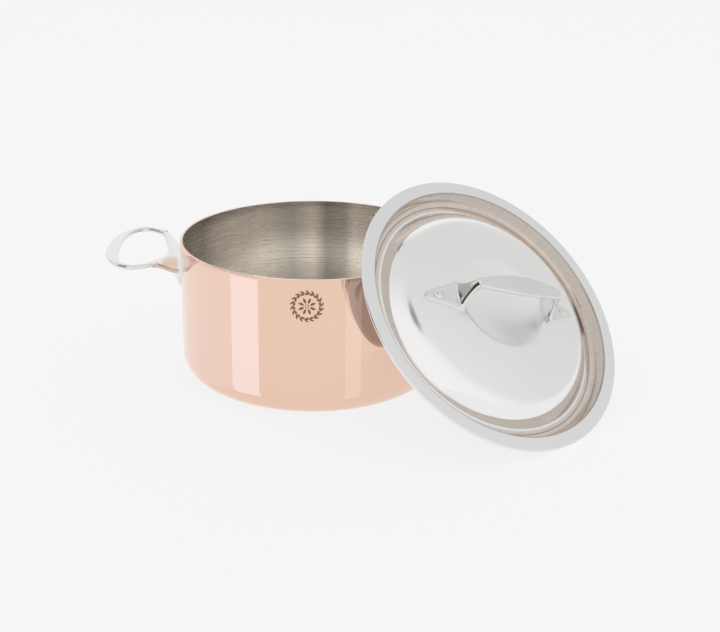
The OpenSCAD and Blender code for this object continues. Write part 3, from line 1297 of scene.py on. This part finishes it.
@dataclass
class LidHandle:
    """Cast bridge handle: leaf-shaped arched grip, two saddle-shaped legs and two pointed feet."""

    cover: LidCover
    voxel: float = 0.42 * MM
    smoothing: int = 7
    grip_half: float = 36 * MM
    grip_width: float = 15.6 * MM
    grip_end: float = 7.2 * MM
    grip_thick: float = 3.9 * MM
    grip_height: float = 34.3 * MM
    grip_rise: float = 3.5 * MM
    foot_x: float = 65 * MM
    foot_start: float = 38.2 * MM
    foot_half: float = 12.3 * MM
    foot_thick: float = 2.6 * MM
    rivet_x: float = 55 * MM

    def _grip(self) -> bpy.types.Object:
        """The arched grip, widest at its middle."""
        rings = []
        steps = 40
        across = Vector((0, 1, 0))
        for i in range(steps + 1):
            t = -1 + 2 * i / steps
            x = t * (self.grip_half - 0.6 * MM)
            z = self.grip_height + self.grip_rise * (1 - t * t) - self.grip_thick / 2
            slope = -2 * self.grip_rise * t / self.grip_half
            up = Vector((-slope, 0, 1)).normalized()
            width = self.grip_end + (self.grip_width - self.grip_end) * (1 - t * t)
            rings.append(slab(Vector((x, 0, z)), across, up, (width, self.grip_thick), (0.42, 0.42)))
        return Bench.loft("grip", rings)

    def _leg(self) -> bpy.types.Object:
        """A leg that spreads from the grip's narrow end to the wide inner end of its foot."""
        base = self.cover.sphere(self.foot_start) - 0.4 * MM
        top = self.grip_height - 0.9 * MM
        rings = []
        steps = 26
        for i in range(steps + 1):
            t = i / steps
            z = base + (top - base) * t
            half = self.grip_end / 2 + (self.foot_half - self.grip_end / 2) * (1 - t) ** 2.3
            outer = self.foot_start + 3.6 * MM * (1 - t) ** 2 + 0.6 * MM * t - 2.2 * MM * t ** 3
            inner = self.foot_start - 1.2 * MM - 8.5 * MM * t ** 3.2
            middle = Vector(((outer + inner) / 2, 0, z))
            across, deep = Vector((0, 1, 0)), Vector((1, 0, 0))
            rings.append(slab(middle, across, deep, (2 * half, outer - inner), (0.62, 0.62)))
        return Bench.loft("leg", rings)

    def _foot(self) -> bpy.types.Object:
        """A pointed foot that lies on the dome."""
        rings = []
        steps = 24
        for i in range(steps + 1):
            t = i / steps
            x = self.foot_start - 1.0 * MM + (self.foot_x - 0.2 * MM - self.foot_start + 1.0 * MM) * t
            tip = max(0.0, (t - 0.92) / 0.08)
            half = self.foot_half + (2.8 * MM - self.foot_half) * max(0.0, (t - 0.1) / 0.9) ** 0.95
            half *= math.sqrt(max(1 - (0.82 * tip) ** 2, 0.0))
            up = Vector((x / self.cover.dome, 0, 1)).normalized()
            base = Vector((x, 0, self.cover.sphere(x)))
            middle = base + up * (self.foot_thick / 2 - 0.7 * MM)
            size = (2 * half, self.foot_thick + 1.4 * MM)
            rings.append(slab(middle, Vector((0, 1, 0)), up, size, (0.4, 0.4)))
        return Bench.loft("foot", rings)

    def build(self, finish: MetalFinish) -> None:
        """Makes the casting.

        Args:
            finish: the cast steel's finish.
        """
        skins = [self._grip()]
        for turn in (0.0, math.pi):
            for part in (self._leg(), self._foot()):
                part.rotation_euler = (0, 0, turn)
                Bench.settle(part)
                skins.append(part)
        piece = Bench.join("bridge_handle", skins)
        Bench.cast(piece, self.voxel, self.smoothing)
        radii = [70 * MM * i / 60 for i in range(61)]
        solid = [(r, self.cover.sphere(r)) for r in radii] + [(70 * MM, -40 * MM), (0.0, -40 * MM)]
        Bench.cut(piece, Bench.lathe("dome_tool", solid, 192))
        self.cover.place.put(piece)
        Bench.smooth(piece, 40)
        finish_piece(piece, finish, Body.LID, "lid_handle")


# ---------------------------------------------------------------- the studio


@dataclass
class Studio:
    """Camera, floor, lights and surroundings."""

    elevation_degrees: float = 20.28
    distance: float = 1.0977
    aim_height: float = 0.050
    lens: float = 70.0
    shift: Point = (0.0654, -0.0117)
    floor_radius: float = 7.0
    openings: Tuple[Tuple[Point3, float, Point3], ...] = (
        ((0.0, 0.95, 0.32), 38.0, (0.98, 0.98, 0.98)),
        ((-0.92, -0.28, 0.24), 30.0, (0.05, 0.05, 0.055)),
        ((0.10, -0.42, 0.90), 10.0, (0.22, 0.21, 0.20)),
        ((-0.35, 0.60, 0.72), 11.0, (0.10, 0.10, 0.10)),
    )

    def camera(self) -> None:
        """Makes the camera."""
        e = math.radians(self.elevation_degrees)
        back = Vector((0, -math.cos(e), math.sin(e)))
        data = bpy.data.cameras.new("camera")
        data.lens = self.lens
        data.sensor_width = 36.0
        data.shift_x, data.shift_y = self.shift
        data.clip_end = 50
        camera = bpy.data.objects.new("camera", data)
        bpy.context.scene.collection.objects.link(camera)
        camera.location = Vector((0, 0, self.aim_height)) + back * self.distance
        camera.rotation_euler = (math.pi / 2 - e, 0, 0)
        bpy.context.scene.camera = camera

    def floor(self) -> None:
        """Makes the pale floor."""
        Bench.clear()
        bpy.ops.mesh.primitive_circle_add(vertices=96, radius=self.floor_radius, fill_type="NGON")
        floor = Bench.name(bpy.context.view_layer.objects.active, "studio_floor")
        floor.data.materials.append(FloorFinish().build())

    def _panel(self, name: str, place: Sequence[float], aim: Sequence[float], size: Point,
               power: float, colour: Sequence[float] = (1, 1, 1)) -> None:
        """A rectangular soft light.

        Args:
            name: the light's name.
            place: where it stands.
            aim: the point that it faces.
            size: width and height.
            power: watts.
            colour: RGB of the light.
        """
        data = bpy.data.lights.new(name, "AREA")
        data.shape = "RECTANGLE"
        data.size, data.size_y = size
        data.energy = power
        data.color = colour
        light = bpy.data.objects.new(name, data)
        bpy.context.scene.collection.objects.link(light)
        light.location = place
        light.rotation_euler = (Vector(aim) - Vector(place)).to_track_quat("-Z", "Y").to_euler()

    def _mirrored_only(self, name: str) -> None:
        """Makes a light show in polished metal and nowhere else."""
        light = bpy.data.objects[name]
        light.visible_camera = False
        light.visible_diffuse = False
        light.data.use_shadow = False

    def _card(self, name: str, first: Point, second: Point, top: float, glow: Sequence[float]) -> None:
        """An upright light card that only shows in polished metal.

        Args:
            name: the card's name.
            first: where its left end stands.
            second: where its right end stands.
            top: height of its top edge.
            glow: RGB radiance.
        """
        a, b = Vector((*first, 0)), Vector((*second, 0))
        size = ((b - a).length, top)
        middle = (a + b) / 2 + Vector((0, 0, top / 2))
        aim = Vector((0, 0, middle.z))
        strongest = max(glow)
        power = strongest * math.pi * size[0] * size[1]
        self._panel(name, middle, aim, size, power, [g / strongest for g in glow])
        self._mirrored_only(name)

    def lights(self) -> None:
        """Soft studio light from above, and the cards that stripe the copper."""
        self._panel("overhead", (-0.3, 0.3, 2.2), (0, 0, 0), (2.4, 2.0), 7.0)
        bpy.data.objects["overhead"].visible_glossy = False
        self._card("left_stripe", (-0.0743, -0.0870), (-0.0500, -0.1045), 0.103, (0.15, 0.26, 0.42))
        self._card("right_stripe", (0.0300, -0.1120), (0.0440, -0.1060), 0.103, (0.07, 0.09, 0.12))
        self._card("left_wash", (-0.1190, 0.0250), (-0.0760, -0.0880), 0.103, (0.04, 0.07, 0.12))

    def _only_on(self, names: Sequence[str], piece: bpy.types.Object) -> None:
        """Lets lights shine on one piece only."""
        receivers = bpy.data.collections.new(f"{piece.name}_lights")
        receivers.objects.link(piece)
        for name in names:
            bpy.data.objects[name].light_linking.receiver_collection = receivers

    def light_pan(self) -> None:
        """Lamps over the bore, and which piece each stripe falls on."""
        lamps = (("bore_plate", (0.0, -0.06, 0.42), (0.36, 0.30), 1.5),
                 ("bore_left", (-0.16, -0.02, 0.33), (0.06, 0.14), 9.0),
                 ("bore_right", (0.13, -0.03, 0.34), (0.05, 0.16), 3.2))
        for name, place, size, glow in lamps:
            power = glow * math.pi * size[0] * size[1]
            self._panel(name, place, (0, 0.03, 0.05), size, power, (1, 0.985, 0.96))
            self._mirrored_only(name)
        self._only_on([lamp[0] for lamp in lamps], bpy.data.objects["steel_bore"])
        self._only_on(("left_stripe", "right_stripe", "left_wash"), bpy.data.objects["copper_wall"])

    def surroundings(self) -> None:
        """Pale walls all round, with one bright patch and three dark ones that polished castings pick up."""
        world = bpy.data.worlds.new("studio")
        bpy.context.scene.world = world
        world.use_nodes = True
        nodes = Tree(world.node_tree)
        direction = nodes.node("ShaderNodeTexCoord", {}, {}, "Generated")
        toward = nodes.facing(direction, (-0.35, -0.80, -0.48)) * 0.5 + 0.5
        light = nodes.ramp(toward, (0.0, (0.74,) * 3), (0.3, (0.80,) * 3), (0.55, (0.95, 0.945, 0.94)),
                           (1.0, (1.0, 0.99, 0.98)))
        for axis, width, shade in self.openings:
            aimed = nodes.facing(direction, Vector(axis).normalized())
            edge = math.cos(math.radians(width))
            soft = math.cos(math.radians(width * 0.72))
            inside = nodes.node("ShaderNodeMapRange", dict(interpolation_type="SMOOTHSTEP"),
                                {"Value": aimed, "From Min": edge, "From Max": soft})
            light = nodes.blend(inside, light, (*shade, 1.0))
        background = nodes.tree.nodes["Background"]
        nodes.feed(background.inputs["Color"], light)
        background.inputs["Strength"].default_value = 1.0

    def build(self) -> None:
        """Sets up the whole studio."""
        view = bpy.context.scene.view_settings
        view.view_transform = "Standard"
        view.look = "None"
        self.camera()
        self.floor()
        self.lights()
        self.surroundings()


# ---------------------------------------------------------------- all together


def handle_turns() -> Dict[str, float]:
    """Turn of each side handle about the pan's axis, from its rivets' places."""
    turns = {}
    for side in ("left", "right"):
        middle = sum(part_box(f"{side}_rivet_low"), Vector()) / 2
        turns[side] = math.atan2(middle.y, middle.x)
    return turns


def build_side_rivets(pan: PanBody, finish: MetalFinish) -> None:
    """Sets the three rivets of each side handle into the wall.

    Args:
        pan: the pan.
        finish: the rivets' finish.
    """
    for side in ("left", "right"):
        for spot in ("front", "back", "low"):
            node = f"{side}_rivet_{spot}"
            middle = sum(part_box(node), Vector()) / 2
            outward = Vector((middle.x, middle.y, 0)).normalized()
            seat = outward * (pan.bore + 0.05 * MM) + Vector((0, 0, middle.z))
            place = Matrix.Translation(seat) @ (-outward).to_track_quat("Z", "Y").to_matrix().to_4x4()
            rivet = Rivet(f"{side}_wall_rivet_{spot}", Body.PAN, 4.2 * MM, 1.4 * MM, 2.4 * MM, 3.5 * MM)
            rivet.build(place, finish, node)


def build_lid_rivets(handle: LidHandle, finish: MetalFinish) -> None:
    """Sets the two rivets of the lid's handle.

    Args:
        handle: the lid's handle.
        finish: the rivets' finish.
    """
    cover = handle.cover
    x = handle.rivet_x
    for side, name in ((-1, "left"), (1, "right")):
        lean = math.asin(x / cover.dome) * side
        spot = Matrix.Translation((side * x, 0, cover.sphere(x))) @ Matrix.Rotation(lean, 4, "Y")
        top = ("top", 0.0, handle.foot_thick, 1.6 * MM, handle.foot_thick, (f"lid_rivet_{name}",))
        under = ("under", math.pi, -cover.sheet, 1.0 * MM, 0.4 * MM, ())
        for kind, flip, seat, rise, length, nodes in (top, under):
            place = cover.place.matrix @ spot @ Matrix.Translation((0, 0, seat))
            place = place @ Matrix.Rotation(flip, 4, "X")
            rivet = Rivet(f"lid_{kind}_rivet_{name}", Body.LID, 4.0 * MM, rise, 2.4 * MM, length)
            rivet.build(place, finish, *nodes)


def main() -> None:
    """Builds the set and the studio."""
    logging.basicConfig(level=logging.INFO, format="%(message)s")
    place = LidFrame()
    copper = MetalFinish("mirror_copper", "polished_copper", (0.895, 0.635, 0.505), (0.865, 0.605, 0.475),
                         0.035, 0.02, cloud_scale=11.0, wave_depth=0.003 * MM, wave_scale=26.0)
    brushed = BoreFinish()
    polished = LidFinish(tuple(place.matrix.to_3x3().col[2]), place.turn(), place.shift())
    cast = MetalFinish("polished_casting", "cast_steel", (0.84, 0.84, 0.84), (0.74, 0.73, 0.72),
                       0.10, 0.06, cloud_scale=60.0, wave_depth=0.01 * MM, wave_scale=120.0)
    rivets = MetalFinish("rivet_metal", "rivet_steel", (0.82, 0.82, 0.82), (0.70, 0.70, 0.69), 0.14, 0.08,
                         cloud_scale=200.0, wave_depth=0.01 * MM, wave_scale=300.0)
    studio = Studio()
    studio.build()
    pan = PanBody()
    pan.build(copper, brushed)
    studio.light_pan()
    WallOrnament(pan).build(EtchedFinish())
    for side, turn in handle_turns().items():
        SideHandle(side, pan, turn).build(cast)
    build_side_rivets(pan, rivets)
    cover = LidCover(place)
    cover.build(polished)
    handle = LidHandle(cover)
    handle.build(cast)
    build_lid_rivets(handle, rivets)


if __name__ == "__main__":
    main()
